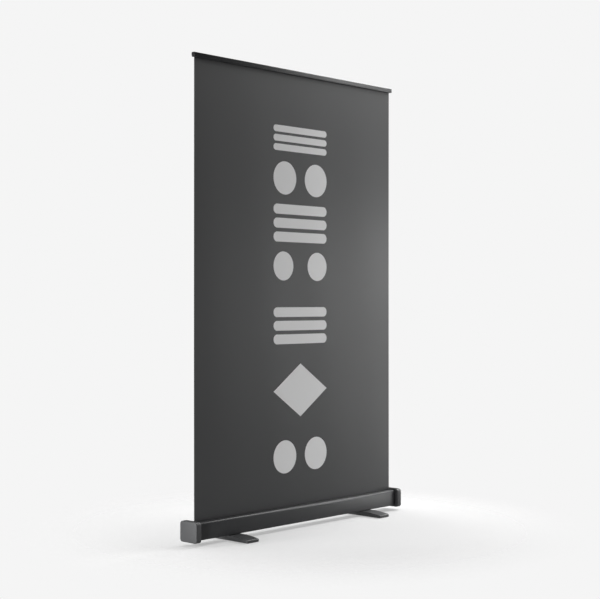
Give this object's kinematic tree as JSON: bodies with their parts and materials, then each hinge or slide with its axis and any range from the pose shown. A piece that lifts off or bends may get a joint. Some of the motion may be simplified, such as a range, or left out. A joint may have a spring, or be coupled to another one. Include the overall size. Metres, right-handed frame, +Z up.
{
  "type": "roll-up banner stand",
  "caption": "Wide free-standing roll-up banner: spring roller base with swinging feet, telescopic rear pole and a snap rail holding the banner's top edge.",
  "frame": {"origin": "on the floor, under the middle of the base, where the four foot pads' bounding box is centred", "axes": "+Z up the banner, +X along the banner's width, the printed face looks along -Y"},
  "size_m": [1.2834, 0.264, 1.9462],
  "materials": {
    "dark_anodised": "charcoal anodised, fine brushed grain along the extrusion",
    "cap_plastic": "charcoal moulded plastic, fine satin grain",
    "banner_film": "charcoal printed polyester film, satin front, pale grey back",
    "leader_film": "plain grey leader film",
    "coated_steel": "fine-textured charcoal powder coat",
    "plain_aluminium": "satin natural anodised",
    "zinc_steel": "bright zinc plate",
    "spring_steel": "oiled spring wire",
    "black_plastic": "black moulded nylon",
    "rubber": "matt black rubber"
  },
  "bodies": {
    "base": {"base_housing": "dark_anodised", "left_end_cap": "cap_plastic", "right_end_cap": "cap_plastic", "left_cap_grub_screw": "zinc_steel", "right_cap_grub_screw": "zinc_steel", "left_bearing_plate": "zinc_steel", "right_bearing_plate": "zinc_steel", "left_plate_screw_front_bottom": "zinc_steel", "left_plate_screw_rear_bottom": "zinc_steel", "left_plate_screw_front_top": "zinc_steel", "right_plate_screw_front_bottom": "zinc_steel", "right_plate_screw_rear_bottom": "zinc_steel", "right_plate_screw_front_top": "zinc_steel", "left_axle_spacer": "black_plastic", "right_axle_spacer": "black_plastic", "left_stub_axle": "zinc_steel", "spring_arbor": "zinc_steel", "leader_strip": "leader_film", "fabric_sheet": "banner_film", "left_foot_bolt": "zinc_steel", "right_foot_bolt": "zinc_steel", "left_foot_nut": "zinc_steel", "right_foot_nut": "zinc_steel", "left_foot_washer": "black_plastic", "right_foot_washer": "black_plastic", "pole_socket": "black_plastic", "pole_foot_plug": "black_plastic", "pole_lower_tube": "plain_aluminium"},
    "roller": {"roller_tube": "plain_aluminium", "left_roller_plug": "black_plastic", "right_roller_plug": "black_plastic", "torsion_spring": "spring_steel", "spring_anchor_plug": "black_plastic", "fabric_roll": "leader_film"},
    "left_foot": {"left_foot": "coated_steel", "left_foot_front_pad": "rubber", "left_foot_rear_pad": "rubber"},
    "right_foot": {"right_foot": "coated_steel", "right_foot_front_pad": "rubber", "right_foot_rear_pad": "rubber"},
    "pole_middle": {"pole_middle_tube": "plain_aluminium", "middle_guide_bush": "black_plastic"},
    "pole_upper": {"pole_upper_tube": "plain_aluminium", "upper_guide_bush": "black_plastic", "pole_top_hook": "black_plastic", "top_rail": "dark_anodised", "rail_left_cap": "cap_plastic", "rail_right_cap": "cap_plastic"},
    "rail_jaw": {"rail_front_jaw": "dark_anodised"},
    "lower_collar": {"lower_lock_collar": "black_plastic"},
    "upper_collar": {"upper_lock_collar": "black_plastic"}
  },
  "joints": [
    {"name": "pole_middle_slide", "type": "slide", "parent": "base", "child": "pole_middle", "axis": [0, 0, 1], "range_m": [-0.55, 0]},
    {"name": "pole_upper_slide", "type": "slide", "parent": "pole_middle", "child": "pole_upper", "axis": [0, 0, 1], "range_m": [-0.55, 0], "deforming": ["fabric_sheet"]},
    {"name": "roller_spin", "type": "hinge", "parent": "base", "child": "roller", "pos_m": [0, -0.009, 0.057], "axis": [1, 0, 0], "range_deg": [-3710, 0]},
    {"name": "left_foot_swing", "type": "hinge", "parent": "base", "child": "left_foot", "pos_m": [-0.413, 0, 0.0117], "axis": [0, 0, 1], "range_deg": [0, 90]},
    {"name": "right_foot_swing", "type": "hinge", "parent": "base", "child": "right_foot", "pos_m": [0.413, 0, 0.0117], "axis": [0, 0, 1], "range_deg": [-90, 0]},
    {"name": "rail_jaw_open", "type": "hinge", "parent": "pole_upper", "child": "rail_jaw", "pos_m": [0, -0.0016, 1.9462], "axis": [-1, 0, 0], "range_deg": [0, 40]},
    {"name": "lower_collar_twist", "type": "hinge", "parent": "base", "child": "lower_collar", "pos_m": [0, 0.019, 0.713], "axis": [0, 0, 1], "range_deg": [0, 60]},
    {"name": "upper_collar_twist", "type": "hinge", "parent": "pole_middle", "child": "upper_collar", "pos_m": [0, 0.019, 1.305], "axis": [0, 0, 1], "range_deg": [0, 60]}
  ],
  "couplings": [
    {"joint": "pole_middle_slide", "follows": "pole_upper_slide", "ratio": 1},
    {"joint": "roller_spin", "follows": "pole_upper_slide", "rad_per_m": 117.6}
  ]
}
